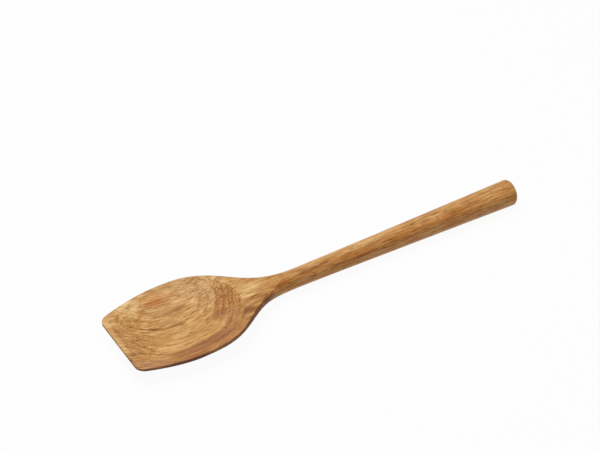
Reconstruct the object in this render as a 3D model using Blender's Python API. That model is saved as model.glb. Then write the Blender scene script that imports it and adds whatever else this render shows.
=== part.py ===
"""Cooking spoon carved from one piece of wood: a shallow bowl with a straight tip on a round handle.

Metres, +Z up. The spoon lies on its back with the bowl open upwards. +X runs along the handle, away
from the tip, and Y = 0 is its mirror plane. Z = 0 is the worktop that it lies on, and the origin is
below the middle of its length. The body is a loft: a closed section at every station along it,
round on the handle and flat-topped on the blade, where a hollow is taken out of the top face.
Stations are measured from the tip, and heights in the sections from the handle's axis.
"""

import math

import bmesh
import bpy

MM = 0.001

# Stations along the spoon, from the tip
OVERALL_LENGTH = 300 * MM
WIDEST_STATION = 41.5 * MM
HOLLOW_START = 3 * MM
HOLLOW_DEEPEST = 50 * MM
HOLLOW_END = 86 * MM
NECK_START = 78 * MM
FLAT_FADE_START = 104 * MM
NECK_END = 128 * MM

# Widths and diameters, and how far behind its widest station the blade has lost most of its swell
BLADE_WIDTH = 71.5 * MM
TIP_WIDTH = 53.2 * MM
BLADE_FALL_LENGTH = 51.2 * MM
NECK_DIAMETER = 12.7 * MM
BUTT_DIAMETER = 18.3 * MM
RIM_LAND = 1.2 * MM

# Heights of the flat top face above the handle's axis, at the tip and behind the hollow
TIP_FACE_RISE = 3.2 * MM
HEEL_FACE_RISE = 5.4 * MM

# Thicknesses of the blade at its tip, round its rim and under the deepest point of the hollow
TIP_THICKNESS = 1.8 * MM
RIM_THICKNESS = 2.8 * MM
FLOOR_THICKNESS = 5.5 * MM

# Roundings, and what is sanded off the belly so that the spoon lies still
TIP_CORNER_RADIUS = 5 * MM
TIP_EDGE_RADIUS = 0.6 * MM
TIP_EDGE_MOST_SHARE = 0.8
BUTT_ROUNDING = 2.5 * MM
ARRIS_ROUNDING = 0.5 * MM
REST_FLAT_DEPTH = 0.5 * MM

# Powers of the curves: the outline in front of the widest station and behind it, the handle's taper,
# how square the hollow is in plan, how steep its walls are and how sharp the edge under the rim is
FRONT_POWER = 1.7
BACK_POWER = 3.3
TAPER_POWER = 1.15
HOLLOW_CORNER_POWER = 4
HOLLOW_WALL_POWER = 2.6
RIM_EDGE_POWER = 8

# Points round a section, and sections in each stretch of the spoon
SECTION_POINT_COUNT = 48
CORNER_SECTION_COUNT = 8
BLADE_SECTION_COUNT = 42
NECK_SECTION_COUNT = 18
HANDLE_SECTION_COUNT = 10
BUTT_SECTION_COUNT = 6

# Faces that meet at less than this angle are shaded as one surface
SMOOTH_ANGLE = math.radians(40)

# Oiled wood
WOOD_COLOUR = (0.56, 0.31, 0.125, 1.0)
WOOD_ROUGHNESS = 0.55

NECK_RADIUS = NECK_DIAMETER / 2
BUTT_RADIUS = BUTT_DIAMETER / 2
BUTT_ROUNDING_START = OVERALL_LENGTH - BUTT_ROUNDING
BELLY_DEPTH = BUTT_RADIUS + REST_FLAT_DEPTH


def share_between(low, high, at):
    """How far a place has come from low to high, from 0 to 1."""
    return min(1.0, max(0.0, (at - low) / (high - low)))


def smooth_share(low, high, at):
    """The same, starting and ending gently."""
    t = share_between(low, high, at)
    return t * t * (3 - 2 * t)


def between(first, second, share):
    return first + (second - first) * share


def soft_minimum(a, b, rounding):
    """The lower of two heights, with the corner between them rounded."""
    overlap = max(rounding - abs(a - b), 0.0) / rounding
    return min(a, b) - overlap * overlap * rounding / 4


def corner_inset(radius, distance):
    """How far a quarter-round corner stands in at a distance from the end that it rounds."""
    if distance >= radius:
        return 0.0
    return radius - math.sqrt(radius**2 - (radius - distance) ** 2)


def handle_radius(station):
    """Radius of the round handle, which tapers from its butt to the neck and on inside the blade."""
    taper = share_between(NECK_END, BUTT_ROUNDING_START, station) ** TAPER_POWER
    radius = between(NECK_RADIUS, BUTT_RADIUS, taper)
    return radius - corner_inset(BUTT_ROUNDING, OVERALL_LENGTH - station)


def half_width(station):
    """Half the width in plan: the blade swells out of the handle and narrows again to the tip."""
    widest = BLADE_WIDTH / 2
    if station >= WIDEST_STATION:
        behind = (station - WIDEST_STATION) / BLADE_FALL_LENGTH
        swell = (widest - NECK_RADIUS) * math.exp(-(behind**BACK_POWER))
        return handle_radius(station) + swell
    in_front = 1 - station / WIDEST_STATION
    narrowing = (widest - TIP_WIDTH / 2) * in_front**FRONT_POWER
    return widest - narrowing - corner_inset(TIP_CORNER_RADIUS, station)


def roundness(station):
    """0 where the section is the blade's, 1 where it is the round handle's."""
    return smooth_share(NECK_START, NECK_END, station)


def face_height(station):
    """Height of the flat top face. It fades out as it climbs through the top of the round handle."""
    face = between(TIP_FACE_RISE, HEEL_FACE_RISE, smooth_share(0, HOLLOW_END, station))
    clear_of_handle = NECK_RADIUS + ARRIS_ROUNDING
    return between(face, clear_of_handle, smooth_share(FLAT_FADE_START, NECK_END, station))


def edge_thickness(station):
    """Thickness of the blade's edge, from the thin tip to the rim."""
    return between(TIP_THICKNESS, RIM_THICKNESS, smooth_share(0, WIDEST_STATION, station))


def waist_height(station):
    """Height at which the section is widest: mid-edge on the blade, the axis on the handle."""
    mid_edge = face_height(station) - edge_thickness(station) / 2
    return between(mid_edge, 0.0, roundness(station))


def underside_height(station):
    """Height of the underside's middle: down to the belly, and up again to the neck."""
    tip_depth = TIP_THICKNESS - TIP_FACE_RISE
    to_belly = 1 - (1 - share_between(0, HOLLOW_DEEPEST, station)) ** 2
    depth = between(tip_depth, BELLY_DEPTH, to_belly)
    return -between(depth, handle_radius(station), smooth_share(HOLLOW_DEEPEST, NECK_END, station))


def hollow_depth(station, across):
    """Depth of the bowl's hollow under the top face, or nearly 0 outside it."""
    full_depth = face_height(HOLLOW_DEEPEST) + BUTT_RADIUS - FLOOR_THICKNESS
    end = HOLLOW_START if station < HOLLOW_DEEPEST else HOLLOW_END
    along = (station - HOLLOW_DEEPEST) / (end - HOLLOW_DEEPEST)
    aside = abs(across) / (half_width(station) - RIM_LAND)
    out_of_middle = (along**HOLLOW_CORNER_POWER + aside**HOLLOW_CORNER_POWER) ** (1 / HOLLOW_CORNER_POWER)
    depth = full_depth * (1 - out_of_middle**HOLLOW_WALL_POWER)
    return -soft_minimum(0.0, -depth, ARRIS_ROUNDING)


def edge_share(station):
    """Share of the section's height that the rounding of the tip's edge leaves, growing to 1."""
    half_edge = TIP_THICKNESS / 2
    rounding = min(TIP_EDGE_RADIUS, TIP_EDGE_MOST_SHARE * half_edge)
    return 1 - corner_inset(rounding, station) / half_edge


def top_height(station, across, lift):
    """Height of the top of the section, where lift runs from 0 at its waist to 1 in its middle."""
    blank_top = between(BUTT_RADIUS, handle_radius(station), roundness(station))
    top = between(waist_height(station), blank_top, lift)
    if station >= NECK_END:
        return top
    return soft_minimum(top, face_height(station), ARRIS_ROUNDING) - hollow_depth(station, across)


def bottom_height(station, lift):
    """Height of the underside: an edge and a belly on the blade, half a circle on the handle."""
    waist = waist_height(station)
    depth = waist - underside_height(station)
    half_edge = edge_thickness(station) / 2
    edge = half_edge * (1 - (1 - lift) ** RIM_EDGE_POWER)
    blade = edge + (depth - half_edge) * lift * lift
    return max(waist - between(blade, depth * lift, roundness(station)), -BUTT_RADIUS)


def section_point(station, angle):
    """One point (y, z) of the section. Angle 0 is the waist at +Y and a quarter turn is the top."""
    across = half_width(station) * math.cos(angle)
    lift = abs(math.sin(angle))
    if math.sin(angle) >= 0:
        height = top_height(station, across, lift)
    else:
        height = bottom_height(station, lift)
    return across, between(waist_height(station), height, edge_share(station))


def spread(low, high, count):
    """Stations from low to high, without high itself."""
    return [between(low, high, i / count) for i in range(count)]


def rounded_end(radius, count):
    """Distances from an end that a quarter-round rounds, closest together at the end itself."""
    return [radius * (1 - math.cos(math.pi / 2 * i / count)) for i in range(count)]


def stations():
    """Where the sections are taken, from the tip to the butt."""
    places = rounded_end(TIP_CORNER_RADIUS, CORNER_SECTION_COUNT)
    places += spread(TIP_CORNER_RADIUS, HOLLOW_END, BLADE_SECTION_COUNT)
    places += spread(HOLLOW_END, NECK_END, NECK_SECTION_COUNT)
    places += spread(NECK_END, BUTT_ROUNDING_START, HANDLE_SECTION_COUNT)
    places.append(BUTT_ROUNDING_START)
    from_butt = rounded_end(BUTT_ROUNDING, BUTT_SECTION_COUNT)
    return places + [OVERALL_LENGTH - distance for distance in reversed(from_butt)]


def close_end(shape, row):
    """A flat end, in strips that join each point of the section's top to the one below it."""
    for i in range(len(row) // 2):
        corners = (row[i], row[i + 1], row[-i - 1], row[-i])
        shape.faces.new(tuple(dict.fromkeys(corners)))


def loft(name, rings):
    """A closed mesh through rings of as many points each, with flat ends."""
    shape = bmesh.new()
    rows = [[shape.verts.new(point) for point in ring] for ring in rings]
    count = len(rows[0])
    for row, following in zip(rows, rows[1:]):
        for i in range(count):
            j = (i + 1) % count
            shape.faces.new((row[i], row[j], following[j], following[i]))
    close_end(shape, rows[0])
    close_end(shape, rows[-1])
    bmesh.ops.recalc_face_normals(shape, faces=shape.faces)
    mesh = bpy.data.meshes.new(name)
    shape.to_mesh(mesh)
    shape.free()
    return mesh


def oiled_wood():
    material = bpy.data.materials.new("oiled_wood")
    material.use_nodes = True
    shader = material.node_tree.nodes["Principled BSDF"]
    shader.inputs["Base Color"].default_value = WOOD_COLOUR
    shader.inputs["Roughness"].default_value = WOOD_ROUGHNESS
    shader.inputs["Metallic"].default_value = 0.0
    return material


def make_spoon(collection):
    angles = [2 * math.pi * i / SECTION_POINT_COUNT for i in range(SECTION_POINT_COUNT)]
    rings = []
    for station in stations():
        along = station - OVERALL_LENGTH / 2
        points = [section_point(station, angle) for angle in angles]
        rings.append([(along, y, z + BUTT_RADIUS) for y, z in points])
    mesh = loft("spoon", rings)
    mesh.materials.append(oiled_wood())
    mesh.shade_smooth()
    mesh.set_sharp_from_angle(angle=SMOOTH_ANGLE)
    collection.objects.link(bpy.data.objects.new("spoon", mesh))


def main():
    for old in list(bpy.data.objects):
        bpy.data.objects.remove(old)
    collection = bpy.data.collections.new("cooking_spoon")
    bpy.context.scene.collection.children.link(collection)
    make_spoon(collection)


main()
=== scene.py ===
"""The look of the cooking spoon: a fine loft for its body, oak with rings and pores, light and camera."""

import math
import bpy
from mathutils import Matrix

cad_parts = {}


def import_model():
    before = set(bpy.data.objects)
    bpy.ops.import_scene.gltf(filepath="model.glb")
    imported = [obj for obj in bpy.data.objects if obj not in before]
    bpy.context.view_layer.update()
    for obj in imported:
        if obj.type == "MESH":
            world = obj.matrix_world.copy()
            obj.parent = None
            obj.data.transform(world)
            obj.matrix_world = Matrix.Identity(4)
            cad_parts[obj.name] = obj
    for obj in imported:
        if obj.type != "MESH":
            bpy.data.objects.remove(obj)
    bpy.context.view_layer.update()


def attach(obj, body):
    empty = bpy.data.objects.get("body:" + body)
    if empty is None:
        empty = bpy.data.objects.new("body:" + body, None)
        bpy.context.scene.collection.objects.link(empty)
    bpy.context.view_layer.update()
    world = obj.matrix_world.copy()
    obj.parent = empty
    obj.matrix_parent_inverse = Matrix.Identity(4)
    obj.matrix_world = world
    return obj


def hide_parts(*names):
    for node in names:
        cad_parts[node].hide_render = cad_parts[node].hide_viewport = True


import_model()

from types import SimpleNamespace

import bpy
from mathutils import Vector

MM = 0.001

# Sizes of the spoon. Stations run along it from its tip, and heights from the handle's axis
SIZES = {
    "Overall length": 300 * MM,
    "Widest station": 41.5 * MM,
    "Hollow start": 3 * MM,
    "Hollow deepest": 50 * MM,
    "Hollow end": 86 * MM,
    "Neck start": 78 * MM,
    "Flat fade start": 104 * MM,
    "Neck end": 128 * MM,
    "Blade width": 71.5 * MM,
    "Tip width": 53.2 * MM,
    "Blade fall length": 51.2 * MM,
    "Neck diameter": 12.7 * MM,
    "Butt diameter": 18.3 * MM,
    "Rim land": 1.2 * MM,
    "Tip face rise": 3.2 * MM,
    "Heel face rise": 5.4 * MM,
    "Tip thickness": 1.8 * MM,
    "Rim thickness": 2.8 * MM,
    "Floor thickness": 5.5 * MM,
    "Tip corner radius": 5 * MM,
    "Tip edge radius": 0.6 * MM,
    "Butt rounding": 2.5 * MM,
    "Arris rounding": 0.5 * MM,
    "Rest flat depth": 0.5 * MM,
    "Nick station": 0.5 * MM,
    "Nick place": -16 * MM,
    "Nick radius": 1.3 * MM,
    "Nick depth": 0.5 * MM,
    "Front power": 1.7,
    "Back power": 3.3,
    "Taper power": 1.15,
    "Hollow corner power": 4.0,
    "Hollow wall power": 2.6,
    "Rim edge power": 8.0,
}

# Rows of points in each stretch, points round a section, closing rows, and how near points are joined
CORNER_ROWS = 24
BLADE_ROWS = 224
HANDLE_ROWS = 56
BUTT_ROWS = 12
POINTS_ROUND = 256
CLOSING_ROWS = 2
WELD_DISTANCE = 0.001 * MM


class Field:
    """A number that nodes work out. A sum written with it becomes Math nodes."""

    def __init__(self, socket):
        self.socket = socket

    def __add__(self, other):
        return worked_out("ADD", self, other)

    def __radd__(self, other):
        return worked_out("ADD", other, self)

    def __sub__(self, other):
        return worked_out("SUBTRACT", self, other)

    def __rsub__(self, other):
        return worked_out("SUBTRACT", other, self)

    def __mul__(self, other):
        return worked_out("MULTIPLY", self, other)

    def __truediv__(self, other):
        return worked_out("DIVIDE", self, other)

    def __rtruediv__(self, other):
        return worked_out("DIVIDE", other, self)

    def __pow__(self, other):
        return worked_out("POWER", self, other)

    def __neg__(self):
        return worked_out("MULTIPLY", self, -1.0)

    def __abs__(self):
        return worked_out("ABSOLUTE", self)


def feed(socket, term):
    """Gives a socket a field to read, or a plain value to hold."""
    if isinstance(term, Field):
        socket.id_data.links.new(term.socket, socket)
    else:
        socket.default_value = term


def tree_of(terms):
    return next(term.socket.id_data for term in terms if isinstance(term, Field))


def worked_out(operation, *terms):
    node = tree_of(terms).nodes.new("ShaderNodeMath")
    node.operation = operation
    for socket, term in zip(node.inputs, terms):
        feed(socket, term)
    return Field(node.outputs[0])


def lower_of(a, b):
    return worked_out("MINIMUM", a, b)


def higher_of(a, b):
    return worked_out("MAXIMUM", a, b)


def root(a):
    return worked_out("SQRT", a)


def sine(a):
    return worked_out("SINE", a)


def cosine(a):
    return worked_out("COSINE", a)


def between(first, second, share):
    return first + (second - first) * share


def share_between(low, high, at, easing="LINEAR"):
    """How far a field has come from low to high, from 0 to 1."""
    node = tree_of((low, high, at)).nodes.new("ShaderNodeMapRange")
    node.interpolation_type = easing
    for name, term in (("From Min", low), ("From Max", high), ("Value", at)):
        feed(node.inputs[name], term)
    return Field(node.outputs["Result"])


def smooth_share(low, high, at):
    """The same, starting and ending gently."""
    return share_between(low, high, at, "SMOOTHSTEP")


def fade_between(low, high, at):
    """1 up to low and 0 from high on."""
    return 1 - smooth_share(low, high, at)


def soft_minimum(a, b, rounding):
    """The lower of two heights, with the corner between them rounded."""
    overlap = higher_of(rounding - abs(a - b), 0.0) / rounding
    return lower_of(a, b) - overlap * overlap * rounding / 4


def corner_inset(radius, distance):
    """How far a quarter-round corner stands in at a distance from the end that it rounds."""
    left = higher_of(radius - distance, 0.0)
    return radius - root(higher_of(radius * radius - left * left, 0.0))


def handle_radius(size, station):
    """The round handle tapers from its butt to the neck."""
    end = size.overall_length - size.butt_rounding
    taper = share_between(size.neck_end, end, station) ** size.taper_power
    radius = between(size.neck_diameter / 2, size.butt_diameter / 2, taper)
    return radius - corner_inset(size.butt_rounding, size.overall_length - station)


def half_width(size, station):
    """The blade swells out of the handle and narrows again to the tip."""
    swell = size.blade_width / 2 - size.neck_diameter / 2
    behind = higher_of(station - size.widest_station, 0.0) / size.blade_fall_length
    faded = worked_out("EXPONENT", -(behind**size.back_power))
    in_front = higher_of(1 - station / size.widest_station, 0.0)
    narrowing = (size.blade_width / 2 - size.tip_width / 2) * in_front**size.front_power
    width = handle_radius(size, station) + swell * faded - narrowing
    return width - corner_inset(size.tip_corner_radius, station)


def roundness(size, station):
    """0 where the section is the blade's, 1 where it is the round handle's."""
    return smooth_share(size.neck_start, size.neck_end, station)


def face_height(size, station):
    """The flat top face fades out as it climbs through the top of the round handle."""
    rise = smooth_share(0.0, size.hollow_end, station)
    face = between(size.tip_face_rise, size.heel_face_rise, rise)
    clear = size.neck_diameter / 2 + size.arris_rounding
    face = between(face, clear, smooth_share(size.flat_fade_start, size.neck_end, station))
    return face + higher_of(station - size.neck_end, 0.0)


def edge_thickness(size, station):
    thickening = smooth_share(0.0, size.widest_station, station)
    return between(size.tip_thickness, size.rim_thickness, thickening)


def waist_height(size, station):
    """Height at which the section is widest: mid-edge on the blade, the axis on the handle."""
    mid_edge = face_height(size, station) - edge_thickness(size, station) / 2
    return mid_edge * (1 - roundness(size, station))


def underside_height(size, station):
    """The underside's middle runs down to the belly, and up again to the neck."""
    ahead = 1 - share_between(0.0, size.hollow_deepest, station)
    belly = size.butt_diameter / 2 + size.rest_flat_depth
    depth = between(size.tip_thickness - size.tip_face_rise, belly, 1 - ahead * ahead)
    rise = smooth_share(size.hollow_deepest, size.neck_end, station)
    return -between(depth, handle_radius(size, station), rise)


def hollow_depth(size, station, across):
    """Depth of the bowl's hollow under the top face, and 0 outside it."""
    deepest = size.hollow_deepest
    floor_rise = size.butt_diameter / 2 - size.floor_thickness
    full_depth = face_height(size, deepest) + floor_rise
    ahead = higher_of(deepest - station, 0.0) / (deepest - size.hollow_start)
    behind = higher_of(station - deepest, 0.0) / (size.hollow_end - deepest)
    aside = abs(across) / (half_width(size, station) - size.rim_land)
    power = size.hollow_corner_power
    out_of_middle = ((ahead + behind) ** power + aside**power) ** (1 / power)
    depth = full_depth * (1 - out_of_middle**size.hollow_wall_power)
    return -soft_minimum(-depth, 0.0, size.arris_rounding)


def nick_depth(size, station, across):
    """Depth of the small nick knocked out of the tip's edge."""
    off = root((station - size.nick_station) ** 2.0 + (across - size.nick_place) ** 2.0) / size.nick_radius
    return size.nick_depth * fade_between(0.2, 1.0, off)


def top_height(size, station, across, lift):
    """Height of the top of a section, where lift runs from 0 at its waist to 1 in its middle."""
    blank_top = between(size.butt_diameter / 2, handle_radius(size, station), roundness(size, station))
    top = between(waist_height(size, station), blank_top, lift)
    face = soft_minimum(top, face_height(size, station), size.arris_rounding)
    return face - hollow_depth(size, station, across) - nick_depth(size, station, across)


def bottom_height(size, station, lift):
    """Height of the underside: an edge and a belly on the blade, half a circle on the handle."""
    waist = waist_height(size, station)
    depth = waist - underside_height(size, station)
    half_edge = edge_thickness(size, station) / 2
    edge = half_edge * (1 - (1 - lift) ** size.rim_edge_power)
    blade = edge + (depth - half_edge) * lift * lift
    shape = between(blade, depth * lift, roundness(size, station))
    return higher_of(waist - shape, -(size.butt_diameter / 2))


def edge_share(size, station):
    """Share of the section's height that the rounding of the tip's edge leaves."""
    half_edge = size.tip_thickness / 2
    return 1 - corner_inset(size.tip_edge_radius, station) / half_edge


def station_of_row(size, row):
    """Where a row of points lies: closely spaced rows round the tip's corners and the butt's edge."""
    ends = [1]
    for rows in (CORNER_ROWS, BLADE_ROWS, HANDLE_ROWS, BUTT_ROWS):
        ends.append(ends[-1] + rows)
    corner, blade, handle, butt = [share_between(a, b, row) for a, b in zip(ends, ends[1:])]
    butt_start = size.overall_length - size.butt_rounding
    station = size.tip_corner_radius * (1 - cosine(corner * (math.pi / 2)))
    station = station + (size.neck_end - size.tip_corner_radius) * blade
    station = station + (butt_start - size.neck_end) * handle
    return station + size.butt_rounding * sine(butt * (math.pi / 2))


def loft_tree(material):
    """Geometry Nodes that bend a grid of rows and points into the closed body of the spoon."""
    tree = bpy.data.node_groups.new("Spoon loft", "GeometryNodeTree")
    interface = tree.interface
    interface.new_socket("Geometry", in_out="OUTPUT", socket_type="NodeSocketGeometry")
    for name in SIZES:
        interface.new_socket(name, in_out="INPUT", socket_type="NodeSocketFloat")
    entry = tree.nodes.new("NodeGroupInput")
    size = SimpleNamespace(**{name.lower().replace(" ", "_"): Field(entry.outputs[name]) for name in SIZES})

    row_count = CLOSING_ROWS + 1 + CORNER_ROWS + BLADE_ROWS + HANDLE_ROWS + BUTT_ROWS
    grid = tree.nodes.new("GeometryNodeMeshGrid")
    grid.inputs["Vertices X"].default_value = row_count
    grid.inputs["Vertices Y"].default_value = POINTS_ROUND + 1
    index = Field(tree.nodes.new("GeometryNodeInputIndex").outputs[0])
    row = worked_out("FLOOR", (index + 0.5) / (POINTS_ROUND + 1))
    column = index - row * (POINTS_ROUND + 1)

    station = station_of_row(size, row)
    angle = (1 - column / POINTS_ROUND) * math.tau
    across = half_width(size, station) * cosine(angle)
    lift = abs(sine(angle))
    on_top = worked_out("GREATER_THAN", sine(angle), 0.0)
    height = between(bottom_height(size, station, lift), top_height(size, station, across, lift), on_top)
    inside_ends = worked_out("GREATER_THAN", row, 0.5) * worked_out("LESS_THAN", row, row_count - 1.5)
    opened = edge_share(size, station) * inside_ends
    height = between(waist_height(size, station), height, opened)

    place = tree.nodes.new("ShaderNodeCombineXYZ")
    feed(place.inputs["X"], station - size.overall_length / 2)
    feed(place.inputs["Y"], across)
    feed(place.inputs["Z"], height + size.butt_diameter / 2)
    normal = tree.nodes.new("ShaderNodeSeparateXYZ")
    tree.links.new(tree.nodes.new("GeometryNodeInputNormal").outputs[0], normal.inputs[0])
    outward = abs(cosine(angle)).socket
    end_grain = abs(Field(normal.outputs["X"])).socket
    steps = [
        ("GeometryNodeSetPosition", {"Position": place.outputs["Vector"]}),
        ("GeometryNodeStoreNamedAttribute", {"Name": "outward", "Value": outward}),
        ("GeometryNodeMergeByDistance", {"Distance": WELD_DISTANCE}),
        ("GeometryNodeStoreNamedAttribute", {"Name": "end_grain", "Value": end_grain}),
        ("GeometryNodeStoreNamedAttribute", {"Name": "upward", "Value": normal.outputs["Z"]}),
        ("GeometryNodeSetShadeSmooth", {}),
        ("GeometryNodeRealizeInstances", {}),
        ("GeometryNodeSetMaterial", {"Material": material}),
    ]
    flow = grid.outputs["Mesh"]
    for kind, settings in steps:
        node = tree.nodes.new(kind)
        tree.links.new(flow, node.inputs["Geometry"])
        for name, value in settings.items():
            if isinstance(value, bpy.types.NodeSocket):
                tree.links.new(value, node.inputs[name])
            else:
                node.inputs[name].default_value = value
        flow = node.outputs["Geometry"]
    leave = tree.nodes.new("NodeGroupOutput")
    tree.links.new(flow, leave.inputs["Geometry"])
    return tree


def spoon_piece(material):
    """The spoon's body, worked out by the loft and kept as a plain mesh."""
    maker = bpy.data.objects.new("spoon_loft", bpy.data.meshes.new("spoon_loft"))
    bpy.context.scene.collection.objects.link(maker)
    modifier = maker.modifiers.new("Loft", "NODES")
    modifier.node_group = loft_tree(material)
    for item in modifier.node_group.interface.items_tree:
        if item.in_out == "INPUT":
            modifier[item.identifier] = SIZES[item.name]
    graph = bpy.context.evaluated_depsgraph_get()
    mesh = bpy.data.meshes.new_from_object(maker.evaluated_get(graph), depsgraph=graph)
    mesh.name = "spoon_body"
    mesh.materials.clear()
    mesh.materials.append(material)
    mesh.polygons.foreach_set("material_index", [0] * len(mesh.polygons))
    bpy.data.objects.remove(maker)
    piece = bpy.data.objects.new("spoon_body", mesh)
    bpy.context.scene.collection.objects.link(piece)
    return piece


def noise(place, grain, shift=0.0, detail=1.0, roughness=0.5):
    """Smooth noise, about -0.3 to 0.3, with grains of the given sizes. Shift takes another part of it."""
    tree = tree_of(place)
    scaled = [term / size for term, size in zip(place, grain)]
    scaled[2] = scaled[2] + shift
    point = tree.nodes.new("ShaderNodeCombineXYZ")
    for socket, term in zip(point.inputs, scaled):
        feed(socket, term)
    node = tree.nodes.new("ShaderNodeTexNoise")
    tree.links.new(point.outputs[0], node.inputs["Vector"])
    node.inputs["Scale"].default_value = 1.0
    node.inputs["Detail"].default_value = detail
    node.inputs["Roughness"].default_value = roughness
    return Field(node.outputs["Fac"]) - 0.5


def line_at(middle, reach, at):
    """1 at the middle, falling gently to 0 at its reach on both sides."""
    return fade_between(0.0, reach, abs(at - middle))


def band(low, high, blur, at):
    """1 from low to high, with blurred edges."""
    return smooth_share(low - blur, low + blur, at) * fade_between(high - blur, high + blur, at)


def patch(along, across, middle, reach):
    """A soft oval: 1 in its middle and 0 outside its reach."""
    out = root(((along - middle[0]) / reach[0]) ** 2.0 + ((across - middle[1]) / reach[1]) ** 2.0)
    return fade_between(0.3, 1.0, out)


def blend(base, *parts):
    """A number or a field with others added to it, each given with its weight."""
    for part, weight in parts:
        base = base + part * weight
    return base


def shades(along, across, ovals):
    """The sum of soft ovals, each given as places along and across, reaches along and across, and tone."""
    parts = [(patch(along, across, oval[:2], oval[2:4]), oval[4]) for oval in ovals]
    return blend(0.0, *parts)


def colour_ramp(tone, stops):
    """Colours in order from the darkest tone to the lightest."""
    palest = stops[-1][0]
    node = tone.socket.id_data.nodes.new("ShaderNodeValToRGB")
    feed(node.inputs["Fac"], tone / palest)
    elements = node.color_ramp.elements
    while len(elements) < len(stops):
        elements.new(0.5)
    for element, (position, colour) in zip(elements, stops):
        element.position = position / palest
        element.color = (*colour, 1.0)
    return node.outputs["Color"]


def mixed(tree, share, first, second):
    """One colour at share 0, passing into the other at share 1."""
    node = tree.nodes.new("ShaderNodeMix")
    node.data_type = "RGBA"
    feed(node.inputs["Factor"], share)
    tree.links.new(first, node.inputs["A"])
    tree.links.new(second, node.inputs["B"])
    return node.outputs["Result"]


# The oak's colours from its darkest pores to its palest late wood, in three kinds of heartwood; amber and
# plum also tint the painted shade on edges, and amber the handle's down side
GOLDEN = (
    (0.0, (0.17, 0.058, 0.013)),
    (0.3, (0.37, 0.155, 0.036)),
    (0.5, (0.47, 0.223, 0.062)),
    (0.7, (0.565, 0.295, 0.095)),
    (0.85, (0.65, 0.368, 0.128)),
    (1.0, (0.75, 0.460, 0.185)),
    (1.3, (0.86, 0.590, 0.285)),
    (1.6, (0.93, 0.700, 0.400)),
)
AMBER = (
    (0.0, (0.17, 0.046, 0.007)),
    (0.3, (0.375, 0.120, 0.018)),
    (0.5, (0.48, 0.175, 0.032)),
    (0.7, (0.575, 0.230, 0.050)),
    (1.0, (0.715, 0.345, 0.100)),
    (1.3, (0.825, 0.460, 0.175)),
)
PLUM = (
    (0.0, (0.17, 0.064, 0.026)),
    (0.3, (0.33, 0.148, 0.060)),
    (0.7, (0.515, 0.250, 0.105)),
    (1.0, (0.675, 0.385, 0.175)),
    (1.3, (0.78, 0.500, 0.250)),
)

# Lighter and darker places of the blade: place along and across, reach along and across, change of tone
BLADE_SHADES = (
    # Front edge and its corners
    (3, -5, 4, 7, 0.10),
    (4, 10, 4, 5, -0.12),
    (2.5, 18.5, 3, 3, 0.14),
    (10, 18, 5.5, 5, 0.16),
    (6.5, 21.5, 2.5, 1.5, -0.20),
    (6, -12, 6, 2, -0.16),
    (7, -21, 4, 1.2, -0.14),
    (10, -23, 6, 4, 0.10),
    (13, -13.5, 4, 1.6, -0.16),
    (13.5, -1, 7, 8, -0.14),
    (11, 23.5, 8, 4.5, 0.14),
    (22, 27.5, 13, 7, 0.44),
    (28.5, 23.3, 4, 1.6, -0.20),
    # Floor of the hollow
    (30, -12, 16, 7, 0.18),
    (41, -5, 11, 4.5, 0.14),
    (26.5, 7.5, 7, 2.4, -0.32),
    (31, 18.5, 8, 3, 0.12),
    (46, 16, 13, 2.4, -0.20),
    (46.5, 2.3, 3.5, 1.2, -0.24),
    # Near rim and far rim
    (36, -32.3, 18, 2.4, -0.26),
    (40, 27, 7, 2.6, -0.12),
    (48, 31, 24, 4, 0.25),
    (64, 25, 9, 5, 0.12),
    # Rear of the hollow
    (71, -5, 6.5, 6, -0.28),
    (80, -10.5, 4, 3, -0.18),
    (68, -18, 7, 4.5, 0.22),
    (83, 15, 6, 4.5, 0.28),
    (76, 23, 11, 6, 0.22),
    (86.5, -16.2, 8, 5, -0.42),
    # Heel
    (90, -9, 9, 3, -0.10),
    (93, 2, 14, 8, 0.24),
    (96, -7, 15, 1.6, -0.36),
    (101, -11, 11, 4, -0.32),
)

# The same on the handle, by station and degrees round from its top towards the near side
HANDLE_SHADES = (
    (113, 42, 8, 16, -0.34),
    (116.5, 16, 5.5, 12, 0.18),
    (140, 36, 15, 16, -0.24),
    (140, 70, 20, 18, 0.12),
    (154, 19, 12, 12, -0.26),
    (178, 60, 16, 16, -0.20),
    (184, 30, 12, 18, -0.12),
    (200, 0, 14, 9, 0.09),
    (200, 30, 16, 18, -0.13),
    (200, 80, 16, 16, 0.14),
    (219, 27, 8, 14, 0.18),
    (234, 0, 20, 14, -0.10),
    (237, 24, 9, 16, 0.14),
    (250, 38, 12, 20, -0.16),
    (250, 82, 14, 14, -0.28),
    (276, 0, 16, 18, 0.16),
    (284, 46, 26, 42, 0.22),
)


# The wood is measured in mm: stations from the tip, and heights from the handle's axis
HALF_LENGTH = SIZES["Overall length"] / 2 / MM
AXIS_HEIGHT = SIZES["Butt diameter"] / 2 / MM

# Stations between which the blade's shading passes into the handle's, in mm
SHAFT_START = 100.0
SHAFT_END = 118.0

# Growth rings are layers that rise towards the far side: their slope, spacing in mm, and the axis's ring
RING_TILT = 0.24
RING_SPACING = 1.45
AXIS_RING = 40.0

# How light the wood is before its grain and shades are added, and its finish
BASE_TONE = 0.785
BASE_ROUGHNESS = 0.44
SPECULAR_LEVEL = 0.22
RELIEF_STRENGTH = 0.5
RELIEF_HEIGHT = 0.08 * MM


def stored(tree, name):
    """A field that the loft stored on the mesh."""
    node = tree.nodes.new("ShaderNodeAttribute")
    node.attribute_name = name
    return Field(node.outputs["Fac"])


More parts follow.
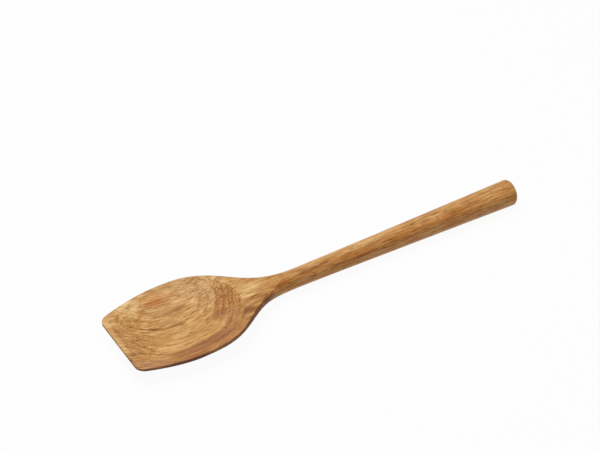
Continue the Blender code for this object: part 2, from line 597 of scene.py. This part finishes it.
def place_on_spoon(tree):
    """Where a point of the surface lies, in the wood's measures, which way it faces, and on which part."""
    coordinates = tree.nodes.new("ShaderNodeTexCoord")
    split = tree.nodes.new("ShaderNodeSeparateXYZ")
    tree.links.new(coordinates.outputs["Object"], split.inputs[0])
    here = SimpleNamespace()
    here.along = Field(split.outputs["X"]) / MM + HALF_LENGTH
    here.across = Field(split.outputs["Y"]) / MM
    here.height = Field(split.outputs["Z"]) / MM - AXIS_HEIGHT
    here.end_grain = stored(tree, "end_grain")
    here.upward = stored(tree, "upward")
    here.outward = stored(tree, "outward")
    here.shaft = smooth_share(SHAFT_START, SHAFT_END, here.along)
    here.blade = 1 - here.shaft
    here.top = smooth_share(-0.2, 0.2, here.upward) * here.blade
    here.around = worked_out("ARCTAN2", -here.across, here.height) * math.degrees(1.0)
    return here


def growth(here):
    """The wood's layers: growth rings, which wander as they run along the spoon, and streaks in them."""
    wood = SimpleNamespace()
    drift = noise((here.along, here.across + 62.0, here.height), (60, 20, 20))
    wood.ripple = noise((here.along, here.across, here.height), (16, 5, 5), shift=7.7, detail=2.0)
    wood.level = blend(here.height, (here.across, -RING_TILT), (drift, 2.4), (wood.ripple, 1.3))
    waver = noise((wood.level, here.along, 0.0), (3, 200, 1), shift=0.5)
    ring = blend(wood.level / RING_SPACING + AXIS_RING, (waver, 1.2))
    wood.early = line_at(0.5, 0.5, worked_out("FRACT", ring))
    wood.layer = noise((here.along, here.across, wood.level), (90, 30, 0.8))
    wood.figure = noise((here.along, here.across, wood.level), (14, 4.5, 0.35), detail=2.0, roughness=0.6)
    wood.hue = noise((here.along, here.across, here.height), (18, 6, 6), shift=2.2, detail=2.0)
    return wood


def add_fibres(here, wood):
    """Streaks, fibres, dashes and pores, which sweep round the blade's front, and rays across the rings."""
    sweep = higher_of(60.0 - here.along, 0.0) ** 2.0 * 0.004
    place = (here.along, here.across - sweep + wood.ripple * 0.8, here.height)
    wood.broad = noise(place, (40, 3, 2), detail=2.0)
    wood.streak = noise(place, (15, 1.25, 1.25), shift=5.0)
    wood.fibre = noise(place, (11, 0.65, 0.65), shift=9.0, detail=2.0, roughness=0.6)
    wood.hair = noise(place, (8, 0.28, 0.28), detail=2.0)
    wood.dashes = smooth_share(0.06, 0.24, noise(place, (6.5, 0.5, 0.5), shift=3.0))
    wood.pores = smooth_share(0.05, 0.2, noise(place, (4.5, 0.2, 0.2))) * (0.4 + wood.early * 0.6)
    crosswise = here.across + here.height * RING_TILT
    wood.ray = smooth_share(0.1, 0.24, noise((here.along, crosswise, wood.level), (7, 0.3, 2.2), shift=4.0))


def hollow_marks(here, wood):
    """The dark rear of the hollow and its darker front, and the lines of grain that curve through both."""
    marks = SimpleNamespace()
    along, across = here.along, here.across
    cut_level = blend(here.height, (across, -RING_TILT), (wood.ripple, 0.6))
    in_hollow = share_between(0.05, 0.15, here.end_grain) * here.top

    rear_width = smooth_share(-9.0, -2.0, across) * fade_between(13.0, 19.0, across)
    rear_place = rear_width * smooth_share(60.0, 68.0, along) * in_hollow
    marks.rear = smooth_share(-2.2, -1.5, cut_level) * rear_place
    lines_place = smooth_share(62.0, 68.0, along) * smooth_share(-2.0, 4.0, across) * in_hollow
    rear_lines = blend(
        0.0,
        (line_at(-2.4, 0.5, cut_level), -0.12),
        (line_at(-3.7, 0.45, cut_level), 0.14),
        (line_at(-1.7, 0.5, cut_level), 0.2),
    )
    marks.rear_lines = rear_lines * lines_place

    marks.front = share_between(0.12, 0.4, here.end_grain) * fade_between(20.0, 34.0, along) * here.top
    curl = across - higher_of(44.0 - along, 0.0) ** 2.0 * 0.0127 + wood.ripple * 0.7
    arch = across + 11.5 + smooth_share(8.0, 30.0, along) * 8.5 + wood.ripple
    marks.front_lines = blend(
        0.0,
        (line_at(4.3, 1.2, curl) * band(9.0, 50.0, 3.0, along), 0.38),
        (line_at(-0.8, 0.9, curl) * band(15.0, 29.0, 3.0, along), -0.34),
        (line_at(0.0, 1.1, arch) * band(1.0, 36.0, 3.0, along), 0.2),
    )
    return marks


def add_rim_marks(here, wood, marks):
    """The plum heartwood by the near rim and the rim outside it, the pale tip, painted shade along the edge
    and a painted highlight on the rim's arris.
    """
    along, across, level, top = here.along, here.across, wood.level, here.top
    plum_length = smooth_share(18.0, 36.0, along) * fade_between(68.0, 82.0, along)
    marks.plum = band(2.6, 7.4, 0.45, level) * plum_length * top
    plum_edge_length = smooth_share(16.0, 30.0, along) * fade_between(60.0, 80.0, along)
    marks.plum_edge = line_at(3.1, 0.9, level) * plum_edge_length * top
    marks.rim = smooth_share(7.0, 8.2, level) * fade_between(80.0, 90.0, along)
    marks.land = fade_between(2.0, 4.2, along) * band(-11.0, 25.0, 4.0, across) * top

    # Painted shade along the blade's edge, whose side turns away from the light: deepest on the near side,
    # most of all by the heel, and half as deep mid-blade
    widening = smooth_share(72.0, 86.0, along) * 0.06
    edge_length = fade_between(98.0, 112.0, along) * smooth_share(0.5, 4.0, along)
    marks.edge = smooth_share(0.962, 0.978, here.outward + widening) * edge_length
    near_side = smooth_share(0.0, 20.0, -across)
    edge_shade_depth = 0.22 + near_side * (0.34 + band(82.0, 97.0, 5.0, along) * 0.1)
    marks.edge_dark = marks.edge * edge_shade_depth * (1 - band(44.0, 72.0, 9.0, along) * 0.5)
    # A painted highlight where the rounded arris of the rim catches the light
    marks.worn = band(0.94, 0.962, 0.008, here.outward) * band(3.0, 70.0, 3.0, along) * top
    marks.nick = patch(along, across, (0.3, -16.0), (1.7, 1.8))


def grain_tone(here, wood, marks):
    """The grain's share in the tone. It is livelier on the blade's far side and front, and behind it."""
    lively = higher_of(smooth_share(-9.0, 7.0, here.across), fade_between(14.0, 28.0, here.along))
    lively = lively * fade_between(60.0, 90.0, here.along)
    lively = blend(0.55, (lively, 1.05), (smooth_share(66.0, 90.0, here.along), 0.65))
    early_depth = blend(
        0.06,
        (marks.rear, 0.12),
        (marks.front, 0.1),
        (here.blade - here.top, 0.12),
        (smooth_share(0.7, 0.95, here.end_grain), 0.16),
    )
    return blend(
        0.0,
        (wood.layer, 0.45),
        (wood.broad, 0.3),
        (wood.figure, 0.5),
        (wood.streak, lively * 0.3 + 0.5),
        (wood.fibre, lively + marks.rear * 0.4),
        (wood.hair, 0.4),
        (wood.ray, 0.1),
        (wood.dashes, -(0.46 + here.shaft * 0.06)),
        (wood.pores, -0.4),
        (wood.early, -early_depth),
    )


def handle_tone(here, wood):
    """The handle's ovals of tone, and painted light and shade by side: paler on its low side and on top, and
    darker between them.
    """
    low_side_painted_light = smooth_share(68.0, 84.0, here.around)
    top_side_painted_light = fade_between(0.0, 14.0, here.around) * band(132.0, 215.0, 9.0, here.along)
    ovals = shades(here.along + wood.streak * 8, here.around + wood.ripple * 20, HANDLE_SHADES)
    # Painted light on the low side and the top, and painted shade on the side between them
    return blend(ovals, (low_side_painted_light, 0.19), (top_side_painted_light, 0.14), (line_at(60.0, 16.0, here.around), -0.08))


def oak_tone(here, wood, marks):
    """How light the wood is, from about 0 in its darkest pores to more than 1 in its palest wood."""
    blade_ovals = shades(here.along + wood.streak * 6, here.across + wood.ripple * 3, BLADE_SHADES)
    return blend(
        BASE_TONE + grain_tone(here, wood, marks),
        (smooth_share(0.6, 0.95, here.end_grain), -0.2),
        (marks.rear, -0.2),
        (marks.rear_lines, -1.0),
        (marks.front, -0.12),
        (marks.front_lines * (0.9 + wood.figure * 0.8), -here.top),
        (marks.land, 0.16),
        (marks.plum, -0.42),
        (marks.plum_edge, -0.06),
        (marks.rim, -0.16),
        # Painted shade along the blade's edge and a painted highlight on the rim's arris
        (marks.edge_dark, -1.0),
        (marks.worn, 0.1),
        (marks.nick, -0.5),
        (here.shaft, -0.03),
        (blade_ovals, here.top),
        # The handle's tones, with its painted light and shade by side
        (handle_tone(here, wood), here.shaft),
    )


def within_one(share):
    """A share held from 0 to 1."""
    return lower_of(higher_of(share, 0.0), 1.0)


def amber_share(here, wood, marks):
    """How far the colour turns amber: by both rims and in the hollow's rear, in the painted shade on edges,
    and on the handle, most of all on its down side as painted shade.
    """
    far_patch = patch(here.along, here.across, (42.0, 27.5), (15.0, 6.5))
    near_patch = patch(here.along, here.across, (38.0, -31.0), (16.0, 5.0))
    # The handle's down side turns amber as painted shade
    shaded_down_side = smooth_share(8.0, 45.0, here.around)
    return within_one(blend(
        0.02,
        (far_patch + near_patch * 0.8, here.top),
        (marks.rear, 0.3),
        (marks.plum, 0.5),
        (marks.rim, 0.3),
        # Amber tint in the painted shade along the edge
        (marks.edge, 0.3),
        (shaded_down_side * 0.7 + 0.24, here.shaft),
        (wood.hue, 0.9),
    ))


def plum_share(here, wood, marks):
    """How far the colour turns plum: in its band, on rim, in the painted shade on edges, by the near corner
    and on the handle.
    """
    corner = patch(here.along, here.across, (14.0, -24.0), (12.0, 7.0)) * here.blade
    return within_one(blend(
        0.0,
        (marks.plum, 0.7),
        (marks.rim, 0.36),
        # Plum tint in the painted shade along the edge
        (marks.edge, 0.4),
        (corner, 0.4),
        (here.shaft, 0.16),
        (wood.hue, -0.5),
    ))


def relief(tree, wood):
    """The fibres stand up a little, and the pores are open."""
    bump = tree.nodes.new("ShaderNodeBump")
    bump.inputs["Strength"].default_value = RELIEF_STRENGTH
    bump.inputs["Distance"].default_value = RELIEF_HEIGHT
    feed(bump.inputs["Height"], blend(0.0, (wood.fibre, 0.8), (wood.hair, 0.5), (wood.pores, -0.9)))
    return bump.outputs[0]


def oak():
    """Oiled oak, worked out in the wood's own space, so that every face cuts through the same rings."""
    material = bpy.data.materials.new("Oiled oak")
    material.use_nodes = True
    tree = material.node_tree
    here = place_on_spoon(tree)
    wood = growth(here)
    add_fibres(here, wood)
    marks = hollow_marks(here, wood)
    add_rim_marks(here, wood, marks)

    tone = oak_tone(here, wood, marks)
    golden, amber, plum = [colour_ramp(tone, stops) for stops in (GOLDEN, AMBER, PLUM)]
    colour = mixed(tree, amber_share(here, wood, marks), golden, amber)
    colour = mixed(tree, plum_share(here, wood, marks), colour, plum)

    shader = tree.nodes["Principled BSDF"]
    tree.links.new(colour, shader.inputs["Base Color"])
    feed(shader.inputs["Roughness"], blend(BASE_ROUGHNESS, (wood.pores, 0.2), (wood.figure, -0.1)))
    shader.inputs["Specular IOR Level"].default_value = SPECULAR_LEVEL
    tree.links.new(relief(tree, wood), shader.inputs["Normal"])
    return material


# White ground and light: colours, the floor's reach and glow, the world's light, the soft boxes' side
WHITE = (1.0, 1.0, 1.0, 1.0)
FLOOR_GREY = (0.8, 0.8, 0.8, 1.0)
FLOOR_REACH = 3.0
FLOOR_GLOW_SHARE = 0.95
WORLD_LIGHT = 0.04
SOFT_BOX_SIDE = 0.8

# The camera's place, fitted to the photograph together with the spoon's outline
CAMERA_AZIMUTH = math.radians(-31.03)
CAMERA_ELEVATION = math.radians(40.47)
CAMERA_DISTANCE = 1.4
CAMERA_TARGET = Vector((8.73, 43.94, 9.15)) * MM
CAMERA_LENS = 125.574
SENSOR_WIDTH = 36.0


def seen_directly(tree):
    """1 for what the camera sees, straight or in a reflection, and 0 for the light that it casts."""
    path = tree.nodes.new("ShaderNodeLightPath")
    kinds = ("Camera", "Glossy", "Transmission")
    camera, glossy, through = [Field(path.outputs[f"Is {kind} Ray"]) for kind in kinds]
    return higher_of(higher_of(camera, glossy), through)


def lit_and_seen(tree, lit, seen, seen_share):
    """A surface that takes and gives light as one shader does, and is seen as the other."""
    mix = tree.nodes.new("ShaderNodeMixShader")
    feed(mix.inputs["Fac"], seen_directly(tree) * seen_share)
    tree.links.new(lit.outputs[0], mix.inputs[1])
    tree.links.new(seen.outputs[0], mix.inputs[2])
    return mix.outputs[0]


def white_ground():
    """Floor that looks white to the camera, keeps a faint shadow and lights the spoon as a pale one does."""
    material = bpy.data.materials.new("White floor")
    material.use_nodes = True
    tree = material.node_tree
    tree.nodes.clear()
    matte = tree.nodes.new("ShaderNodeBsdfDiffuse")
    matte.inputs["Color"].default_value = FLOOR_GREY
    glow = tree.nodes.new("ShaderNodeEmission")
    glow.inputs["Color"].default_value = WHITE
    leave = tree.nodes.new("ShaderNodeOutputMaterial")
    tree.links.new(lit_and_seen(tree, matte, glow, FLOOR_GLOW_SHARE), leave.inputs["Surface"])
    return material


def floor():
    mesh = bpy.data.meshes.new("floor")
    low, high = -FLOOR_REACH, FLOOR_REACH
    mesh.from_pydata([(low, low, 0), (high, low, 0), (high, high, 0), (low, high, 0)], [], [(0, 1, 2, 3)])
    mesh.materials.append(white_ground())
    plane = bpy.data.objects.new("floor", mesh)
    bpy.context.scene.collection.objects.link(plane)


def world():
    """White all round to the camera, with little light of its own."""
    made = bpy.data.worlds.new("Studio")
    made.use_nodes = True
    tree = made.node_tree
    soft = tree.nodes["Background"]
    soft.inputs["Color"].default_value = WHITE
    soft.inputs["Strength"].default_value = WORLD_LIGHT
    white = tree.nodes.new("ShaderNodeBackground")
    white.inputs["Color"].default_value = WHITE
    white.inputs["Strength"].default_value = 1.0
    tree.links.new(lit_and_seen(tree, soft, white, 1.0), tree.nodes["World Output"].inputs["Surface"])
    bpy.context.scene.world = made


def soft_box(name, watts, place):
    """A square lamp that points at the origin."""
    light = bpy.data.lights.new(name, "AREA")
    light.energy = watts
    light.size = SOFT_BOX_SIDE
    lamp = bpy.data.objects.new(name, light)
    lamp.location = place
    lamp.rotation_euler = (-Vector(place)).to_track_quat("-Z", "Y").to_euler()
    bpy.context.scene.collection.objects.link(lamp)


def camera():
    """Looks at its target from an azimuth, round from the spoon's near side, and an elevation."""
    back = Vector((math.sin(CAMERA_AZIMUTH), -math.cos(CAMERA_AZIMUTH), 0.0)) * math.cos(CAMERA_ELEVATION)
    back.z = math.sin(CAMERA_ELEVATION)
    data = bpy.data.cameras.new("Camera")
    data.sensor_width = SENSOR_WIDTH
    data.lens = CAMERA_LENS
    eye = bpy.data.objects.new("Camera", data)
    eye.location = CAMERA_TARGET + back * CAMERA_DISTANCE
    eye.rotation_euler = (-back).to_track_quat("-Z", "Y").to_euler()
    bpy.context.scene.collection.objects.link(eye)
    bpy.context.scene.camera = eye


spoon = spoon_piece(oak())
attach(spoon, "root")
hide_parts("spoon")
floor()
world()
soft_box("Overhead", 16.5, (-0.1, 0.0, 1.6))
soft_box("Behind", 9.0, (-0.15, 0.66, 1.45))
camera()
bpy.context.scene.view_settings.view_transform = "Standard"
